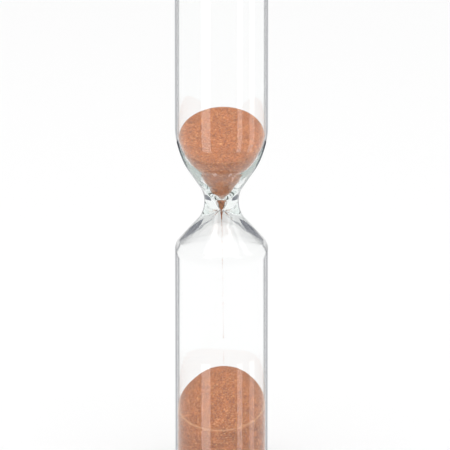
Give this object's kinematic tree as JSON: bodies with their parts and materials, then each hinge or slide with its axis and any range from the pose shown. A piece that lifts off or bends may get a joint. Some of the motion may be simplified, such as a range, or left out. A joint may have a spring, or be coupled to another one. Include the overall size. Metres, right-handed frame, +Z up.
{
  "type": "hourglass",
  "caption": "Slim all-glass sand timer, a straight clear tube pinched to a narrow neck with flat closed ends, its terracotta sand part run",
  "frame": {"origin": "middle of the ring on the bottom end that the timer stands on", "axes": "+Z up along the tube's axis, -Y towards the front, from where the heap is seen to peak behind the axis, +X to the right"},
  "size_m": [0.025, 0.025, 0.16],
  "materials": {
    "glass": "polished",
    "sand": "matte"
  },
  "bodies": {
    "glass": {"lower_bulb": "glass", "neck": "glass", "upper_bulb": "glass", "top_end": "glass", "bottom_end": "glass", "fill_seal": "glass", "funnel_sand": "sand", "sand_stream": "sand", "lower_sand_bed": "sand"},
    "upper_level": {"upper_sand": "sand"},
    "lower_level": {"lower_sand_heap": "sand"}
  },
  "joints": [
    {"name": "upper_level_slide", "type": "slide", "parent": "glass", "child": "upper_level", "axis": [0, 0, 1], "range_m": [0, 0.01], "deforming": ["funnel_sand"]},
    {"name": "lower_level_slide", "type": "slide", "parent": "glass", "child": "lower_level", "axis": [0, 0, 1], "range_m": [-0.01, 0], "deforming": ["lower_sand_bed", "sand_stream"]}
  ],
  "couplings": [
    {"joint": "upper_level_slide", "follows": "lower_level_slide", "ratio": -1}
  ]
}
